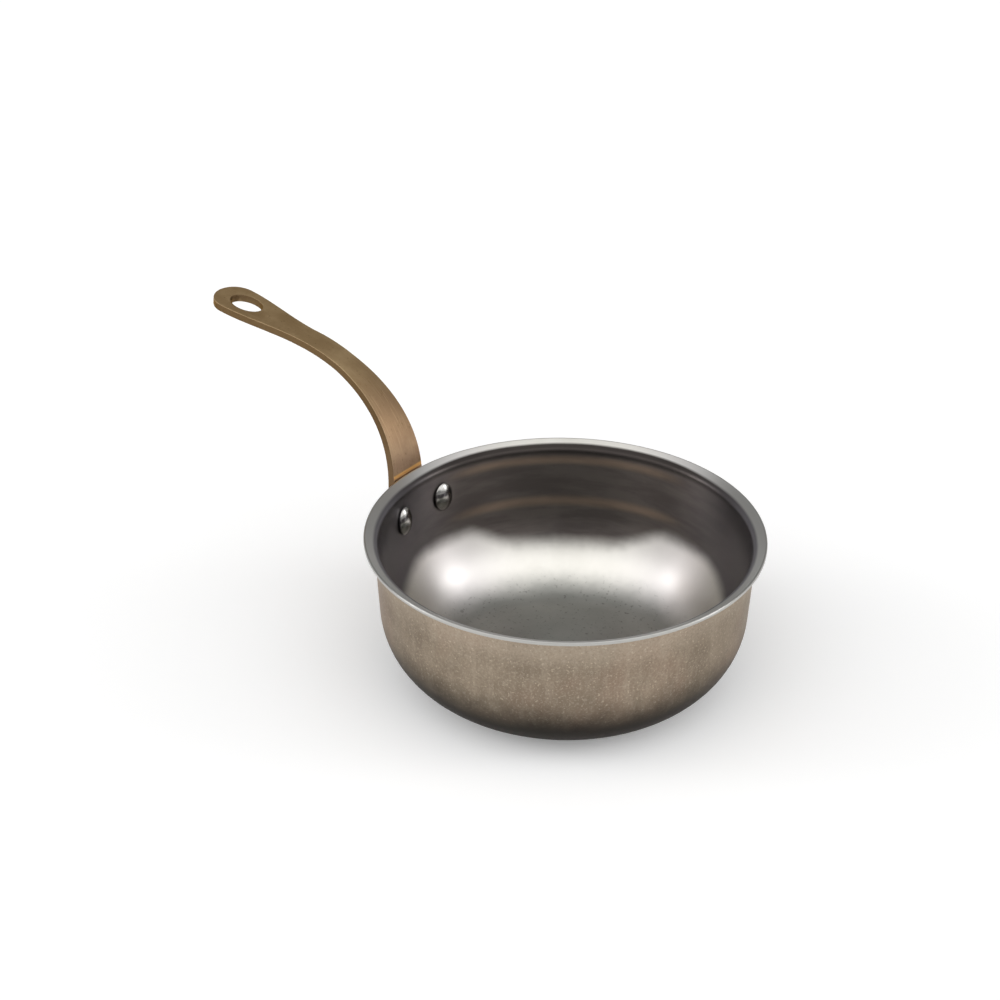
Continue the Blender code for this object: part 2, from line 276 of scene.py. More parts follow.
# %% Sizes of the bar, the plate and the rivets
HANDLE_THICKNESS = 0.0032
HANDLE_REACH = 0.1035
HANDLE_SLOPE = math.radians(8.7)
NECK_WIDTH = 0.0186
WAIST_WIDTH = 0.0110
END_WIDTH = 0.0192
RIVET_HEIGHT = PAN_HEIGHT - 0.0152
RIVET_SPACING = 0.0258
TAIL_DIAMETER = 0.0078
FLANGE_THICKNESS = 0.0030
FLANGE_HEIGHT = 0.0180
FOOT_MARGIN = 0.0030
ARM_DROP = 0.0015
FOOT_HEIGHT = RIVET_HEIGHT - FLANGE_HEIGHT / 2 + FOOT_MARGIN
LIP_UNDERSIDE = PAN_HEIGHT - HEM_DEPTH - CLEARANCE
ARM_START = LIP_UNDERSIDE - ARM_DROP
ARM_INSIDE = LIP_RADIUS + CLEARANCE
RIVET_TURN = math.asin(RIVET_SPACING / 2 / wall_at(RIVET_HEIGHT, SANDWICH))
rivet_offset = (wall_at(RIVET_HEIGHT) + CLEARANCE + FLANGE_THICKNESS) * math.sin(RIVET_TURN)
foot_half = min(NECK_WIDTH / 2, rivet_offset - TAIL_DIAMETER / 2 - CLEARANCE * 2)
print("Between the rivets the bar is", round(foot_half * 2000, 1), "mm wide")

# %% [markdown]
# ## The path of the bar
#
# Seen from the side, the bar's inner face is one line: a short curve up the wall, a wide arch,
# a straight run, and a round end. A curve object could draw it, but then its width couldn't be
# set at each point. So two Bezier sums and a straight line give the points, foot to tip.

# %% Path
BEND_REACH = 0.0508
BEND_RISE = 0.0474
BEND_PULL_UP = 0.0352
BEND_PULL_OUT = 0.0200
FOOT_SINK = 0.45
FOOT_STEPS = 10
BEND_STEPS = 44
STRAIGHT_STEPS = 26
TIP_STEPS = 16
slope = Vector((math.cos(HANDLE_SLOPE), math.sin(HANDLE_SLOPE)))


def bezier(ends, count):
    points = []
    for step in range(count + 1):
        t = step / count
        shares = ((1 - t) ** 3, 3 * t * (1 - t) ** 2, 3 * t * t * (1 - t), t ** 3)
        points.append(sum((end * share for end, share in zip(ends, shares)), Vector((0.0, 0.0))))
    return points


def arm_path():
    """Points (reach, height) along the bar's inner and upper face, from its foot to its tip."""
    foot = Vector((wall_at(FOOT_HEIGHT) + CLEARANCE + FLANGE_THICKNESS * FOOT_SINK, FOOT_HEIGHT))
    start = Vector((ARM_INSIDE, ARM_START))
    knee = Vector((ARM_INSIDE + BEND_REACH, PAN_HEIGHT + BEND_RISE))
    up = Vector((0.0, 1.0))
    rise = up * (start.y - foot.y) * 0.5
    points = bezier((foot, foot + rise, start - rise, start), FOOT_STEPS)
    pulled = (start, start + up * BEND_PULL_UP, knee - slope * BEND_PULL_OUT, knee)
    points += bezier(pulled, BEND_STEPS)[1:]
    straight = (LIP_RADIUS + HANDLE_REACH - knee.x) / slope.x - END_WIDTH / 2
    points += [knee + slope * straight * step / STRAIGHT_STEPS for step in range(1, STRAIGHT_STEPS + 1)]
    for step in range(1, TIP_STEPS + 1):
        share = math.sin(math.radians(90) * step / TIP_STEPS)
        points.append(knee + slope * (straight + END_WIDTH / 2 * share))
    return points


path = arm_path()
lengths = [0.0]
for first, second in zip(path, path[1:]):
    lengths.append(lengths[-1] + (second - first).length)
print("The bar is", round(lengths[-1] * 1000), "mm long along its bend")

# %% [markdown]
# ## The width of the bar
#
# Seen from above, the bar is broad where it leaves the lip, narrows to a waist, and swells again
# to a round end that is comfortable to hold. A lattice could squeeze it by eye. A short sum for
# the width at each length is exact, and its round end is a true half circle.

# %% Width along the path
NECK_TAPER = 0.060
TAPER_EVEN = 0.75
WAIST_LENGTH = 0.022
END_SPREAD = 0.040


def smooth(t):
    t = min(max(t, 0.0), 1.0)
    return t * t * (3 - 2 * t)


def half_width(along, at_lip, whole):
    """Half the bar's width at a length along it."""
    neck, waist, end = NECK_WIDTH / 2, WAIST_WIDTH / 2, END_WIDTH / 2
    if along < at_lip:
        return foot_half + (neck - foot_half) * smooth(along / at_lip)
    along, whole = along - at_lip, whole - at_lip
    if along < NECK_TAPER:
        share = along / NECK_TAPER
        return neck + (waist - neck) * (TAPER_EVEN * share + (1 - TAPER_EVEN) * smooth(share))
    width = waist + (end - waist) * smooth((along - NECK_TAPER - WAIST_LENGTH) / END_SPREAD)
    left = whole - along
    if left < end:
        width *= math.sqrt(max(end * end - (end - left) ** 2, 0.0)) / end
    return width


at_lip = next(total for total, point in zip(lengths, path) if point.y >= ARM_START - TOUCH)
widths = [half_width(total, at_lip, lengths[-1]) for total in lengths]
print("Half widths run from", round(min(widths) * 1000, 1), "to", round(max(widths) * 1000, 1), "mm")

# %% [markdown]
# ## A strip along the path
#
# The bar starts as the strip of its inner face. A plane's four corners are put on the path's first
# two points, its leading edge is selected, and it is extruded from point to point and widened or
# narrowed at each. At the tip the edge is merged to one point, which closes the round end.
# A curve with a flat bevel would be quicker, but harder to narrow by an exact amount.

# %% Extrude the strip
POINTED = 0.00001
start_clean()
bpy.ops.mesh.primitive_plane_add(size=1.0)
arm = bpy.context.object
arm.name = "handle_brass"
bpy.ops.object.mode_set(mode="EDIT")
bpy.ops.mesh.select_all(action="DESELECT")
bpy.ops.mesh.select_mode(type="EDGE")
bpy.ops.object.mode_set(mode="OBJECT")
for vert in arm.data.vertices:
    at = 0 if vert.co.x > 0 else 1
    vert.co = (-path[at].x, math.copysign(widths[at], vert.co.y), path[at].y)
for edge in arm.data.edges:
    edge.select = all(abs(arm.data.vertices[v].co.z - path[1].y) < TOUCH for v in edge.vertices)
bpy.ops.object.mode_set(mode="EDIT")
for i in range(2, len(path)):
    step = path[i] - path[i - 1]
    bpy.ops.mesh.extrude_region_move(TRANSFORM_OT_translate={"value": (-step.x, 0.0, step.y)})
    centre = (-path[i].x, 0.0, path[i].y)
    narrow = max(widths[i], POINTED) / max(widths[i - 1], POINTED)
    bpy.ops.transform.resize(value=(1.0, narrow, 1.0), center_override=centre)
bpy.ops.mesh.merge(type="CENTER")
bpy.ops.mesh.select_all(action="SELECT")
bpy.ops.mesh.normals_make_consistent(inside=False)
bpy.ops.object.mode_set(mode="OBJECT")
print("Strip:", len(arm.data.polygons), "faces")

# %% [markdown]
# ## The bar's thickness
#
# A real bar has the same thickness all along, and Solidify gives just that, measured square to
# the bend. An open strip has no inside, so its normals may all point down, and the bar would then
# grow to the wrong side. The sum of the faces' lift tells, and they are flipped if need be.

# %% Thicken the strip
def apply_modifier(piece, kind, **settings):
    choose(piece)
    made = piece.modifiers.new(kind.title(), kind)
    for name, value in settings.items():
        setattr(made, name, value)
    bpy.ops.object.modifier_apply(modifier=made.name)


lift = sum(face.normal.z * face.area for face in arm.data.polygons)
if lift < 0:
    arm.data.flip_normals()
apply_modifier(arm, "SOLIDIFY", thickness=HANDLE_THICKNESS, offset=-1.0)
print("Bar:", len(arm.data.polygons), "faces")

# %% [markdown]
# ## The hanging hole
#
# The pan hangs by an oval hole that is punched through the bar's flat end. It could be cut by
# insetting a face there, but the end is made of narrow steps. So an oval drum, laid square to the
# bar's slope, is taken away with a Boolean.

# %% Punch the hole
HOLE_LENGTH = 0.0158
HOLE_WIDTH = 0.0108
HOLE_MARGIN = 0.0080
HOLE_STEPS = 72
back = HOLE_MARGIN + HOLE_LENGTH / 2
hole_middle = path[-1] - slope * back + Vector((slope.y, -slope.x)) * HANDLE_THICKNESS / 2
start_clean()
bpy.ops.mesh.primitive_cylinder_add(
    vertices=HOLE_STEPS,
    radius=HOLE_WIDTH / 2,
    depth=HANDLE_THICKNESS * 3,
    location=(-hole_middle.x, 0.0, hole_middle.y),
    rotation=(0.0, HANDLE_SLOPE, 0.0),
)
drum = bpy.context.object
drum.scale = (HOLE_LENGTH / HOLE_WIDTH, 1.0, 1.0)
settle(drum)
apply_modifier(arm, "BOOLEAN", operation="DIFFERENCE", solver="EXACT", object=drum)
bpy.data.objects.remove(drum)
print("Hole:", HOLE_LENGTH * 1000, "x", HOLE_WIDTH * 1000, "mm")

# %% [markdown]
# ## The bar's soft edges
#
# The real bar was tumbled, which takes every sharp edge off by the same small amount. One Bevel
# limited by angle does it in a single step. Before it, limited dissolve joins the small flat faces
# round the hole into one, because a bevel stops short where faces are narrower than it is wide.

# %% Round the bar's edges
EDGE_ROUND = 0.0008
SHARP_ANGLE = math.radians(50)
FLAT_ANGLE = math.radians(0.2)


def soften(piece):
    apply_modifier(
        piece, "BEVEL", width=EDGE_ROUND, segments=4, limit_method="ANGLE", angle_limit=SHARP_ANGLE
    )


choose(arm)
bpy.ops.object.mode_set(mode="EDIT")
bpy.ops.mesh.select_all(action="SELECT")
bpy.ops.mesh.dissolve_limited(angle_limit=FLAT_ANGLE)
bpy.ops.object.mode_set(mode="OBJECT")
soften(arm)
print("Bar with its hole:", len(arm.data.polygons), "faces")

# %% [markdown]
# ## The riveted plate
#
# At its foot the bar is forged out into a plate that hugs the wall, wide enough for both rivets.
# It could be a bent sheet, but a block is quicker: its four long edges are bevelled round, and
# a cone with the wall's lean cuts its outer face. The bowl cuts the inner face later on.

# %% Plate
FLANGE_MARGIN = 0.0070
FLANGE_CORNER = 0.0075
BLOCK_DEPTH = 0.03
start_clean()
bpy.ops.mesh.primitive_cube_add(size=1.0, location=(-wall_at(RIVET_HEIGHT), 0.0, RIVET_HEIGHT))
plate = bpy.context.object
plate.name = "plate"
plate.scale = (BLOCK_DEPTH, 2 * (rivet_offset + FLANGE_MARGIN), FLANGE_HEIGHT)
settle(plate)
for edge in plate.data.edges:
    first, second = [plate.data.vertices[v].co for v in edge.vertices]
    edge.select = abs(first.x - second.x) > BLOCK_DEPTH / 2
bpy.ops.object.mode_set(mode="EDIT")
bpy.ops.mesh.select_mode(type="EDGE")
bpy.ops.mesh.bevel(offset=FLANGE_CORNER, segments=12)
bpy.ops.object.mode_set(mode="OBJECT")
reach = CLEARANCE + FLANGE_THICKNESS
bpy.ops.mesh.primitive_cone_add(
    vertices=TURN_STEPS,
    radius1=wall_at(RIVET_HEIGHT - FLANGE_HEIGHT, -reach),
    radius2=wall_at(RIVET_HEIGHT + FLANGE_HEIGHT, -reach),
    depth=FLANGE_HEIGHT * 2,
    location=(0.0, 0.0, RIVET_HEIGHT),
)
cone = bpy.context.object
settle(cone)
apply_modifier(plate, "BOOLEAN", operation="INTERSECT", solver="EXACT", object=cone)
bpy.data.objects.remove(cone)
soften(plate)
print("Plate:", len(plate.data.polygons), "faces")

# %% [markdown]
# ## The web behind the bar
#
# Under the lip, the gap between the bar and the wall is filled with metal, so that the bar can't
# bend there. Faces could be bridged from bar to wall, but a small block that bites into both joins
# more cleanly. It is a little narrower than the bar and hidden behind it. Its lower outer edge is
# selected by its place and moved in, to follow the bar's lean.

# %% Web
WEB_INSET = 0.0014
WEB_BELOW_LIP = 0.0008
LOW_BITE = HANDLE_THICKNESS * 0.3
HIGH_BITE = HANDLE_THICKNESS * 0.6
web_low = path[0].y + LOW_BITE
web_high = LIP_UNDERSIDE - WEB_BELOW_LIP
web_out = ARM_INSIDE + HIGH_BITE
web_in = wall_at(FOOT_HEIGHT) - SANDWICH * 2
start_clean()
bpy.ops.mesh.primitive_cube_add(
    size=1.0, location=(-(web_in + web_out) / 2, 0.0, (web_low + web_high) / 2)
)
web = bpy.context.object
web.scale = (web_out - web_in, 2 * (foot_half - WEB_INSET), web_high - web_low)
settle(web)
for edge in web.data.edges:
    ends = [web.data.vertices[v].co for v in edge.vertices]
    edge.select = all(end.x < -web_out + HAIR and end.z < web_low + HAIR for end in ends)
bpy.ops.object.mode_set(mode="EDIT")
bpy.ops.mesh.select_mode(type="EDGE")
bpy.ops.transform.translate(value=(web_out - path[0].x - LOW_BITE, 0.0, 0.0))
bpy.ops.object.mode_set(mode="OBJECT")
print("Web:", round((web_high - web_low) * 1000, 1), "mm high")

# %% [markdown]
# ## One handle from three parts
#
# Bar, plate and web are one forging, so they are joined by Boolean unions and not just laid into
# each other. Then the room that the bowl needs, its own outline grown by the clearance, is cut
# away, which gives the plate and the web an inner face that fits the wall exactly.

# %% Join the handle and cut the bowl's room
ROOM_HEIGHT = PAN_HEIGHT * 1.6
room_edge = LIP_RADIUS + CLEARANCE / 2
room_rings = skin(-CLEARANCE, room_edge) + [(room_edge, ROOM_HEIGHT)]
bowl_room = raise_rings("bowl_room", room_rings, TURN_STEPS)
for part, operation in ((plate, "UNION"), (web, "UNION"), (bowl_room, "DIFFERENCE")):
    apply_modifier(arm, "BOOLEAN", operation=operation, solver="EXACT", object=part)
    bpy.data.objects.remove(part)
print("Handle:", len(arm.data.polygons), "faces")

# %% [markdown]
# ## A rivet
#
# A rivet is turned with a domed head, pushed through from inside the bowl, and its far end is
# hammered flat outside the plate. It is raised ring by ring along Z, as the bowl is, because that
# gives head, shank and tail in one closed skin. The head was struck a little narrower than high,
# so the rings of the head alone are squeezed across and drawn out along the wall.

# %% Raise a rivet
HEAD_RADIUS = 0.0056
HEAD_HEIGHT = 0.0026
HEAD_RIM = 0.0006
HEAD_NARROW = 0.84
HEAD_TALL = 1.12
SHANK_RADIUS = 0.0025
TAIL_RADIUS = TAIL_DIAMETER / 2
TAIL_HEIGHT = 0.0014
TAIL_ROUND = 0.0006
RIVET_STEPS = 64
inner = wall_at(RIVET_HEIGHT, SANDWICH)
seat = SANDWICH + CLEARANCE + inner - math.sqrt(inner ** 2 - HEAD_RADIUS ** 2)
foot = -(FLANGE_THICKNESS + CLEARANCE * 2)
rise = HEAD_HEIGHT - HEAD_RIM
ball = (HEAD_RADIUS ** 2 + rise ** 2) / (2 * rise)
half_turn = math.degrees(math.asin(HEAD_RADIUS / ball))
tail_edge = (TAIL_RADIUS - TAIL_ROUND, foot - TAIL_HEIGHT + TAIL_ROUND)
rivet_rings = [(TAIL_RADIUS * 0.80, foot - TAIL_HEIGHT)]
rivet_rings += arc(tail_edge, TAIL_ROUND, -70, 0, 6)
rivet_rings += [(TAIL_RADIUS, foot), (SHANK_RADIUS, foot), (SHANK_RADIUS, seat)]
rivet_rings += [(HEAD_RADIUS - HAIR, seat), (HEAD_RADIUS, seat + HAIR)]
rivet_rings.append((HEAD_RADIUS, seat + HEAD_RIM * 0.8))
rivet_rings += arc((0.0, seat + HEAD_HEIGHT - ball), ball, 90 - half_turn + 2, 88, 12)
rivet_left = raise_rings("rivet_left_steel", rivet_rings, RIVET_STEPS)
for vert in rivet_left.data.vertices:
    if vert.co.z > seat - TOUCH:
        vert.co.x *= HEAD_NARROW
        vert.co.y *= HEAD_TALL
print("Rivet:", len(rivet_left.data.polygons), "faces")

# %% [markdown]
# ## Both rivets in the wall
#
# The two rivets sit at the same height, to the left and right of the bar, each square to the wall
# that it goes through. They could be turned by hand, but one matrix that points their Z into the
# bowl is exact. The second is a duplicate with a mesh of its own, made before the first is moved,
# because a settled piece has forgotten its own axis.

# %% Lay the rivets
def lay_on_wall(piece, side):
    """Turns a rivet so that its own Z points into the bowl, square to the wall."""
    azimuth = math.radians(180) + side * RIVET_TURN
    out = Vector((math.cos(azimuth), math.sin(azimuth), 0.0))
    spot = out * wall_at(RIVET_HEIGHT) + Vector((0.0, 0.0, RIVET_HEIGHT))
    inward = Vector((0.0, 0.0, math.sin(WALL_LEAN))) - out * math.cos(WALL_LEAN)
    turn = inward.to_track_quat("Z", "Y").to_matrix().to_4x4()
    piece.matrix_world = Matrix.Translation(spot) @ turn
    settle(piece)
    print(piece.name, "goes through the wall at", [round(s * 1000, 1) for s in spot], "mm")


choose(rivet_left)
bpy.ops.object.duplicate()
rivet_right = bpy.context.object
rivet_right.name = "rivet_right_steel"
lay_on_wall(rivet_left, 1)
lay_on_wall(rivet_right, -1)

# %% [markdown]
# ## Writing a finish as sums
#
# Shader nodes are small sums wired together. They could be placed one by one in the editor, but
# a finish has some fifty. This class wraps the output of one node, so that a finish can be written
# as plain Python: mask * 0.5 + grain makes the two Math nodes.

# %% Nodes as Python values
class Wire:
    """One output socket in a node tree. Sums and products of wires make Math nodes."""

    def __init__(self, tree, socket=None):
        self.tree = tree
        self.socket = socket

    def node(self, kind, settings=None, inputs=None, output=0):
        """Adds a node, sets its settings, then gives its input sockets values or links."""
        made = self.tree.nodes.new(kind)
        for name, value in (settings or {}).items():
            setattr(made, name, value)
        for name, value in (inputs or {}).items():
            if isinstance(value, Wire):
                self.tree.links.new(value.socket, made.inputs[name])
            else:
                made.inputs[name].default_value = value
        return Wire(self.tree, made.outputs[output])

    def calc(self, operation, *others):
        return self.node("ShaderNodeMath", {"operation": operation}, dict(enumerate((self, *others))))

    def __add__(self, other):
        return self.calc("ADD", other)

    def __sub__(self, other):
        return self.calc("SUBTRACT", other)

    def __rsub__(self, other):
        return (self * -1.0).calc("ADD", other)

    def __mul__(self, other):
        return self.calc("MULTIPLY", other)

    def __truediv__(self, other):
        return self.calc("DIVIDE", other)

    __radd__ = __add__
    __rmul__ = __mul__

    def rise(self, start, end):
        """0 below start, 1 above end, and a smooth ramp between them."""
        inputs = {"Value": self, "From Min": start, "From Max": end}
        return self.node("ShaderNodeMapRange", {"interpolation_type": "SMOOTHSTEP"}, inputs)

    def band(self, middle, half):
        """1 at the middle value, falling smoothly to 0 so far to either side of it."""
        return 1.0 - (self - middle).calc("ABSOLUTE").rise(0.0, half)

    def blend(self, colour, other):
        """Mixes two colours, red-green-blue or wires, with this wire as the factor."""
        first, second = [c if isinstance(c, Wire) else (*c, 1.0) for c in (colour, other)]
        return self.node("ShaderNodeMix", {"data_type": "RGBA"}, {0: self, 6: first, 7: second}, 2)

    def noise(self, scale, detail=2.0, roughness=0.5):
        inputs = {"Vector": self, "Scale": scale, "Detail": detail, "Roughness": roughness}
        return self.node("ShaderNodeTexNoise", None, inputs)

    def split(self):
        made = self.node("ShaderNodeSeparateXYZ", None, {0: self}).socket.node
        return [Wire(self.tree, output) for output in made.outputs]

    def join(self, x, y, z):
        return self.node("ShaderNodeCombineXYZ", None, {0: x, 1: y, 2: z})

    def bump(self, height, strength):
        """A normal that makes this wire look like hills of a height in metres."""
        inputs = {"Strength": strength, "Distance": height, "Height": self}
        return self.node("ShaderNodeBump", None, inputs)


print("A wire can", ", ".join(name for name in vars(Wire) if not name.startswith("_")))

# %% [markdown]
# ## Starting a finish
#
# Every finish starts alike: a metal, and the place on the object, which stays with the pan when it
# moves. Colours are then laid over each other in thin coats, as age, heat and wear do it, and each
# coat has a mask for how thick it lies where. A ramp per coat would do, but would hide the order.

# %% Finish helpers
def new_finish(name, metallic=1.0):
    """A material, its Principled shader and a wire that carries the place on the object."""
    made = bpy.data.materials.new(name)
    made.use_nodes = True
    tree = made.node_tree
    shader = tree.nodes["Principled BSDF"]
    shader.inputs["Metallic"].default_value = metallic
    place = Wire(tree).node("ShaderNodeTexCoord", output="Object")
    return made, shader, place


def feed(shader, name, wire):
    wire.tree.links.new(wire.socket, shader.inputs[name])


def coats(tone, *layers):
    """Lays colours over a tone, one after another, each as thick as its own wire says."""
    for thickness, colour in layers:
        tone = thickness.blend(tone, colour)
    return tone


# %% [markdown]
# ## Spun steel: the marks
#
# The lining is one bright steel, and the spinning tool has left fine rings all round it. So its
# shader is anisotropic, turned a quarter, and a lamp's reflection is drawn out across the rings.
# The visible rings are noise that is stretched along the circle. The painted highlights, painted shade
# and painted reflections below are placed by the side of the bowl that is far from the camera, whose
# wall faces the soft box: this wire is 1 there, 0 a quarter round from it and -1 opposite.

# %% The lining's marks
FAR_SIDE = math.radians(124.7)
RING_STRETCH = 0.85
QUARTER_TURN = 0.25
steel, shader, place = new_finish("satin_steel")
shader.inputs["Anisotropic"].default_value = RING_STRETCH
shader.inputs["Anisotropic Rotation"].default_value = QUARTER_TURN
x, y, z = place.split()
radius = (x * x + y * y).calc("SQRT")
around_x, around_y = x / radius, y / radius


def round_marks(around, fineness):
    """Noise stretched along the circle, so often round the bowl and so fine across it."""
    marks = place.join(around_x * around, around_y * around, (radius + z) * fineness)
    return marks.noise(1.0, 3.0, 0.6)


lathe = round_marks(0.6, 1400.0)
sweep = round_marks(2.5, 160.0)
cloud = place.noise(60.0, 3.0, 0.6)
pits = place.noise(620.0, 2.0, 0.6).rise(0.60, 0.70)
# 1 on the bowl's side far from the camera; it places the painted light in the coats below.
far_side = around_x * math.cos(FAR_SIDE) + around_y * math.sin(FAR_SIDE)
print("Lining marks:", len(steel.node_tree.nodes), "nodes")

# %% [markdown]
# ## Spun steel: bare metal
#
# Clean steel shows on the round corner and on the lip. To the left and right of the far side, the
# corner has a painted highlight where the strip boxes are reflected. Away from the far side, the lip is
# painted greyer as shade, and it is duller still at its folded rim. Spoons have scoured and pitted the
# flat floor. An image could be painted on, but masks made of height and radius fit the bowl at any
# size. Each of them is one coat over the bright metal.

# %% The lining's bare metal
PAINTED_HIGHLIGHT = (0.98, 0.94, 0.925)
LIP_SHADE_GREY = (0.58, 0.575, 0.555)
RIM_GREY = (0.40, 0.395, 0.375)
FLOOR_GREY = (0.37, 0.382, 0.358)
PIT_GREY = (0.16, 0.155, 0.145)
LIP_FOOT = (0.0600, 0.0615)
RIM_EDGE = (LIP_RADIUS - 0.0010, LIP_RADIUS - 0.0004)
FLOOR_EDGE = (0.053, 0.067)
food_floor = 1.0 - (radius + cloud * 0.008).rise(*FLOOR_EDGE)
bright = cloud.rise(0.35, 0.7).blend((0.82, 0.80, 0.74), (0.88, 0.86, 0.80))
bare = coats(
    bright,
    # Painted highlight on the corner beside the far side, then painted shade on the lip away from it.
    (far_side.band(0.68, 0.36) * 0.95, PAINTED_HIGHLIGHT),
    (z.rise(*LIP_FOOT) * (1.0 - far_side.rise(0.60, 0.95)) * 0.85, LIP_SHADE_GREY),
    (radius.rise(*RIM_EDGE) * 0.6, RIM_GREY),
    (food_floor * (0.75 + sweep * 0.25), FLOOR_GREY),
    (food_floor * pits * 0.5, PIT_GREY),
)
print("Bare metal:", len(steel.node_tree.nodes), "nodes")

# %% [markdown]
# ## Spun steel: the heat film
#
# Above the food line, heat has left a dark brown film on the wall. Away from the far side the film is
# painted paler and cooler, which is painted light on the side walls. On the far side two faint golden
# rings are painted reflections of the near lip, and just under the lip the film is painted almost black
# as shade. A film on real steel could be made with thin-film colours, but plain coats stay the same in
# every light.

# %% The colour of the film
FILM_DARK = (0.118, 0.102, 0.096)
FILM_PALE = (0.156, 0.136, 0.126)
SIDE_WALL_LIGHT = (0.252, 0.238, 0.256)
LIP_REFLECTION_GOLD = (0.38, 0.275, 0.20)
NECK_SHADE_BLACK = (0.035, 0.030, 0.028)
REFLECTION_HEIGHTS = ((0.0368, 0.0036), (0.0563, 0.0032))
NECK_SHADE_FOOT = (0.0580, 0.0602)
rings = sum(z.band(middle, half) for middle, half in REFLECTION_HEIGHTS) * far_side.rise(0.70, 0.90)
film = coats(
    sweep.rise(0.35, 0.65).blend(FILM_DARK, FILM_PALE),
    # Painted light: the film is paler away from the far side.
    (1.0 - far_side.rise(0.20, 0.85), SIDE_WALL_LIGHT),
    # Painted reflections of the near lip: two thin golden lines on the far wall.
    (rings * (0.2 + sweep * 0.7), LIP_REFLECTION_GOLD),
    # Painted shade: almost black just under the lip, mostly on the far side.
    (z.rise(*NECK_SHADE_FOOT) * far_side.rise(0.20, 0.80) * 0.75, NECK_SHADE_BLACK),
)
print("Film:", len(steel.node_tree.nodes), "nodes")

# %% [markdown]
# ## Spun steel: where the film lies
#
# The film's lower edge is soft and uneven, as the food's level was. It climbs to the left and right of
# the far side, which gives the painted highlights there their shape, and is lowest round the other
# half. Its upper edge is crisp, where the lip begins, and sits a little lower on the far side, which
# widens the lip's bright band there. The height, bent by a little noise, makes the mask. A second
# material would need an edge in the mesh. The tool's rings and the floor's pits also go into a faint
# bump.

# %% The edges of the film, and the lining's shader
FILM_LOW = 0.0190
FILM_CLIMB = 0.0095
FILM_FALL = 0.0120
FILM_SOFT = (-0.0050, 0.0040)
FILM_TOP = (0.0620, 0.0627)
# The film's edges follow the far side, to shape the painted highlights and the lip's bright band.
climb = (1.0 - far_side.rise(0.80, 0.98)) * FILM_CLIMB
fall = (1.0 - far_side.rise(0.15, 0.60)) * -FILM_FALL
film_low = FILM_LOW + climb + fall + (cloud - 0.5) * 0.003 + (sweep - 0.5) * 0.001
film_high = (z + sweep * 0.0003 - far_side.rise(0.50, 0.90) * 0.0005).rise(*FILM_TOP)
film_mask = (z - film_low).rise(*FILM_SOFT) * (1.0 - film_high)
feed(shader, "Base Color", film_mask.blend(bare, film))
feed(shader, "Roughness", 0.29 + lathe * 0.04 + cloud * 0.05 + z.band(0.022, 0.012) * 0.09)
feed(shader, "Normal", (lathe + pits * food_floor * -0.6).bump(0.00003, 0.35))
print("Lining finish:", len(steel.node_tree.nodes), "nodes")

# %% [markdown]
# ## Aged bronze
#
# The outer skin is brown with age, with rosier patches, faint streaks that run up the wall, a fine
# grain and pale worn specks. A paler band under the lip is painted light. The lower part is painted
# darker as shade, almost to black at the foot. One noise at several scales would look like stone, so
# each mark has a noise of its own, at its own size.

# %% Finish of the shell
BRONZE_SHADE = (0.225, 0.180, 0.133)
BRONZE_LIGHT = (0.305, 0.248, 0.185)
BASE_SHADE_BLACK = (0.010, 0.009, 0.008)
PALE_LIGHT_BAND = (0.046, 0.058)
BASE_SHADE_EDGE = (0.0195, 0.042)
bronze, shader, place = new_finish("aged_bronze")
shader.inputs["Specular Tint"].default_value = (0.82, 0.80, 0.78, 1.0)
x, y, z = place.split()
cloud = place.noise(42.0, 4.0, 0.65)
rosy = place.noise(26.0, 3.0, 0.5).rise(0.50, 0.68)
streak = place.join(x * 300.0, y * 300.0, z * 45.0).noise(1.0, 3.0, 0.6)
grain = place.noise(1050.0, 3.0, 0.75)
speck = place.noise(950.0, 1.0, 0.5).rise(0.62, 0.76)
# Painted shade: the shell darkens towards its foot, almost to black.
base_shade = 1.0 - (z + cloud * 0.008).rise(*BASE_SHADE_EDGE)
tone = coats(
    cloud.rise(0.35, 0.65).blend(BRONZE_SHADE, BRONZE_LIGHT),
    (rosy * 0.4, (0.35, 0.245, 0.182)),
    # Painted light: a paler band just under the lip.
    (z.rise(*PALE_LIGHT_BAND) * 0.4, (0.50, 0.42, 0.33)),
    (streak.rise(0.45, 0.75) * 0.35, (0.42, 0.355, 0.275)),
    (grain.rise(0.50, 0.70) * 0.45, (0.47, 0.405, 0.325)),
    ((1.0 - grain.rise(0.30, 0.50)) * 0.45, (0.21, 0.16, 0.12)),
    (speck * 0.42, (0.62, 0.53, 0.41)),
    (base_shade * 0.97, BASE_SHADE_BLACK),
)
feed(shader, "Base Color", tone)
feed(shader, "Roughness", 0.34 + cloud * 0.12 + grain * 0.08 + base_shade * 0.08)
feed(shader, "Normal", (grain + streak * 0.5).bump(0.00005, 0.35))
print("Shell finish:", len(bronze.node_tree.nodes), "nodes")

# %% [markdown]
# ## Aged brass: the broad faces
#
# The bar's broad faces are wiped by hands and stay golden, rosier near the pan where it gets hot, and
# browner at the bend. Fine scratches run along the bar, and small pits hold dirt. Just above the lip,
# on the face turned to the bowl, a thin bright orange line is a painted highlight.

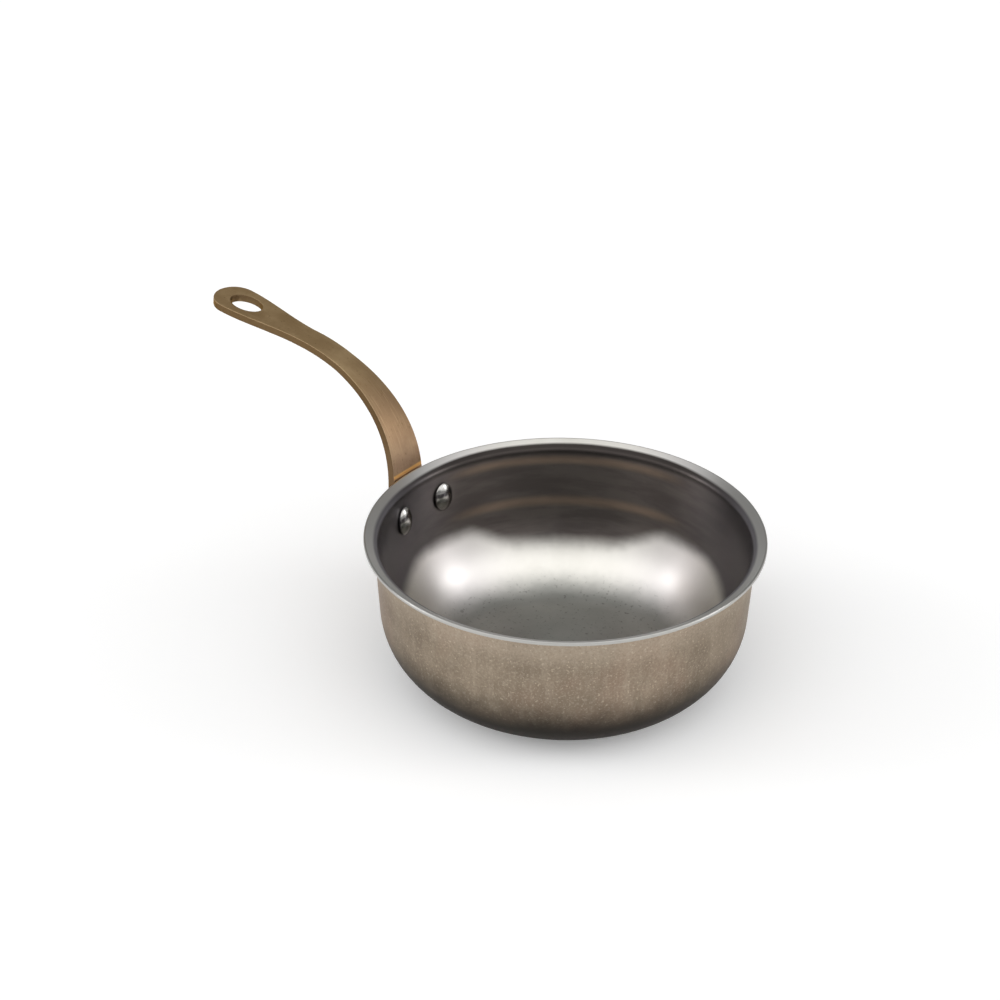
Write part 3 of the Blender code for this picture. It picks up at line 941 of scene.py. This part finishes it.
# %% The handle's broad faces
GOLDEN_SHADE = (0.455, 0.315, 0.168)
GOLDEN_LIGHT = (0.55, 0.40, 0.225)
HOT_SHADE = (0.40, 0.26, 0.172)
HOT_LIGHT = (0.50, 0.338, 0.232)
LIP_GLINT_ORANGE = (0.88, 0.52, 0.20)
HEAT_REACH = (0.072, 0.112)
BROWN_BEND = (0.090, 0.020)
GLINT_FOOT = (0.0638, 0.0643)
GLINT_TOP = (0.0653, 0.0660)
brass, shader, place = new_finish("aged_brass")
shader.inputs["Specular Tint"].default_value = (0.50, 0.40, 0.28, 1.0)
x, y, z = place.split()
level, across, upward = place.node("ShaderNodeTexCoord", output="Normal").split()
cloud = place.noise(75.0, 4.0, 0.65)
scratch = place.join(x * 60.0, y * 1500.0, z * 60.0).noise(1.0, 3.0, 0.6)
pits = place.noise(680.0, 3.0, 0.6).rise(0.60, 0.74)
patchy = cloud.rise(0.35, 0.65)
warmth = (z + cloud * 0.02).rise(*HEAT_REACH)
tone = coats(
    warmth.blend(patchy.blend(HOT_SHADE, HOT_LIGHT), patchy.blend(GOLDEN_SHADE, GOLDEN_LIGHT)),
    (z.band(*BROWN_BEND) * 0.85, (0.235, 0.15, 0.087)),
    (scratch.rise(0.50, 0.75) * 0.35, (0.62, 0.45, 0.27)),
    (pits * 0.45, (0.20, 0.13, 0.065)),
    # Painted highlight: a thin orange line just above the lip.
    (z.rise(*GLINT_FOOT) * (1.0 - z.rise(*GLINT_TOP)) * level.rise(0.5, 0.8), LIP_GLINT_ORANGE),
)
print("Broad faces:", len(brass.node_tree.nodes), "nodes")

# %% [markdown]
# ## Aged brass: sides, edges and hole
#
# The round edges between the narrow sides and the broad faces get a painted highlight, as well as some
# wear, and the narrow sides and the hole's wall are painted dark as shade. The normal tells all three
# apart, so the painted light follows the bend by itself, and no edge has to be drawn. At the flat tip,
# where the end is round, the up and down part of the normal takes over.

# %% The handle's sides, edges and hole
EDGE_HIGHLIGHT_GOLD = (0.74, 0.55, 0.34)
SIDE_SHADE_BROWN = (0.13, 0.080, 0.038)
TIP_START = -0.15
BORE_EDGE = (HOLE_WIDTH / 2 - 0.0001, HOLE_WIDTH / 2 + 0.0003)
in_tip = x.calc("LESS_THAN", TIP_START)
turned, tipped, lying = [part.calc("ABSOLUTE") for part in (across, level, upward)]
edge_highlight_and_wear = turned.band(0.60, 0.32) * (1.0 - in_tip) + lying.band(0.72, 0.24) * in_tip
from_middle = x + hole_middle.x
from_hole = (from_middle * from_middle / (HOLE_LENGTH / HOLE_WIDTH) ** 2 + y * y).calc("SQRT")
bore = (1.0 - from_hole.rise(*BORE_EDGE)) * in_tip
sides = turned.rise(0.70, 0.97) + tipped.rise(0.75, 0.97) * in_tip
# Painted shade on the narrow sides and on the hole's wall.
shaded = (sides + bore).calc("MINIMUM", 1.0)
grain = place.noise(1200.0, 2.0, 0.7)
# Painted highlight and wear on the round edges, then painted shade on the sides and in the hole.
feed(shader, "Base Color", coats(tone, (edge_highlight_and_wear * 0.7, EDGE_HIGHLIGHT_GOLD), (shaded * 0.85, SIDE_SHADE_BROWN)))
feed(shader, "Roughness", 0.42 + cloud * 0.10 + scratch * 0.06 + pits * 0.1)
feed(shader, "Normal", (grain * 0.6 + scratch + pits * -1.0).bump(0.00004, 0.30))
print("Handle finish:", len(brass.node_tree.nodes), "nodes")

# %% [markdown]
# ## Polished rivets
#
# The rivets' heads are polished by wear. Their lower half is painted brown and dark as shade, and fine
# scratches cross the whole dome. Both rivets share one finish, and since its noise is read in place, no
# two marks on them are alike.

# %% Finish of the rivets
RIVET_SHADE = (0.42, 0.41, 0.39)
RIVET_LIGHT = (0.52, 0.51, 0.49)
LOWER_HALF_SHADE = (0.10, 0.085, 0.070)
LOWER_HALF_EDGE = (RIVET_HEIGHT - 0.0012, RIVET_HEIGHT + 0.0022)
polished, shader, place = new_finish("polished_steel")
x, y, z = place.split()
scuff = place.noise(700.0, 3.0, 0.6)
underside_shade = 1.0 - (z + scuff * 0.0012).rise(*LOWER_HALF_EDGE)
clean = scuff.rise(0.35, 0.65).blend(RIVET_SHADE, RIVET_LIGHT)
# Painted shade: the lower half of each head is brown and dark.
feed(shader, "Base Color", coats(clean, (underside_shade * 0.85, LOWER_HALF_SHADE)))
feed(shader, "Roughness", 0.10 + scuff * 0.12 + underside_shade * 0.08)
feed(shader, "Normal", scuff.bump(0.00002, 0.25))
print("Rivet finish:", len(polished.node_tree.nodes), "nodes")

# %% [markdown]
# ## Putting the pieces in their places
#
# Each fine piece takes the place of one piece of the engineering model and wears one finish.
# Shading them all smooth would make the cut edges look melted, and flat shading would show every
# step of the bowl. So smooth shading is limited by angle: bends look round, edges stay crisp.

# %% Ride
SMOOTH_ANGLE = math.radians(40)
for piece, node, slot, finish in (
    (lining, "steel_lining", "steel_lining", steel),
    (shell, "outer_shell", "outer_shell", bronze),
    (arm, "handle", "handle", brass),
    (rivet_left, "rivet_left", "rivets", polished),
    (rivet_right, "rivet_right", "rivets", polished),
):
    choose(piece)
    bpy.ops.object.shade_smooth_by_angle(angle=SMOOTH_ANGLE)
    piece.data.materials.append(finish)
    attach(piece, "root")
    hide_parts(node)
    print(piece.name, "replaces", node, "and wears", finish.name)

# %% [markdown]
# ## The floor
#
# The pan stands on one wide sheet of white paper. More light would make the paper white, but it
# would bleach the pan too. So the paper glows a little, for the camera and in reflections only:
# it comes out white, keeps the pan's soft shadow, and adds no light.

# %% Floor
FLOOR_WIDTH = 30.0
FLOOR_DROP = 0.0002
PAPER_GLOW = 0.18
start_clean()
bpy.ops.mesh.primitive_plane_add(size=FLOOR_WIDTH, location=(0.0, 0.0, -FLOOR_DROP))
floor = bpy.context.object
floor.name = "floor"
paper, shader, place = new_finish("white_paper", metallic=0.0)
shader.inputs["Base Color"].default_value = (0.92, 0.92, 0.92, 1.0)
shader.inputs["Roughness"].default_value = 0.9
shader.inputs["Emission Strength"].default_value = 1.0
seen = place.node("ShaderNodeLightPath", output="Is Camera Ray")
for ray in ("Is Glossy Ray", "Is Transmission Ray"):
    seen = seen.calc("MAXIMUM", place.node("ShaderNodeLightPath", output=ray))
feed(shader, "Emission Color", seen.blend((0.0, 0.0, 0.0), (PAPER_GLOW,) * 3))
floor.data.materials.append(paper)
print("Floor:", floor.dimensions.x, "m wide")

# %% [markdown]
# ## The light
#
# The studio is a white tent. One wide soft box hangs over and behind the camera and reaches
# further down at its two sides, two tall strip boxes stand left and right of the pan, the far half
# is dim, and a bright horizon all round stands for the paper. Lamps would do, but each would leave
# a small hard spot on steel. So the brightness of the world is written for each direction.

# %% World
BOX_GLOW = 1.45
STRIP_GLOW = 4.5
AMBIENT_GLOW = 0.31
HORIZON_GLOW = 0.97
TO_CAMERA = (0.569, -0.822)
BOX_FOOT = (0.46, 0.62)
BOX_BACK = (-0.30, 0.35)
STRIP_TURN = (0.02, 0.30)
STRIP_RISE = (0.37, 0.28)
HORIZON_EDGE = (0.05, 0.18)
world = bpy.data.worlds.new("light_tent")
bpy.context.scene.world = world
world.use_nodes = True
tree = world.node_tree
x, y, z = Wire(tree).node("ShaderNodeTexCoord", output="Generated").split()
facing = x * TO_CAMERA[0] + y * TO_CAMERA[1]
aside = (x * -TO_CAMERA[1] + y * TO_CAMERA[0]).calc("ABSOLUTE")
big_box = (z + aside * 0.36).rise(*BOX_FOOT) * (facing + aside * 0.16).rise(*BOX_BACK)
strips = facing.band(*STRIP_TURN) * z.band(*STRIP_RISE)
boxes = AMBIENT_GLOW + big_box * (BOX_GLOW - AMBIENT_GLOW) + strips * STRIP_GLOW
horizon = (1.0 - z.rise(*HORIZON_EDGE)) * HORIZON_GLOW
background = tree.nodes["Background"]
background.inputs["Color"].default_value = (1.0, 1.0, 1.0, 1.0)
feed(background, "Strength", boxes.calc("MAXIMUM", horizon))
print("Light tent:", len(tree.nodes), "nodes")

# %% [markdown]
# ## Last, the sizes
#
# The finished pan must fill the same box as the engineering model.
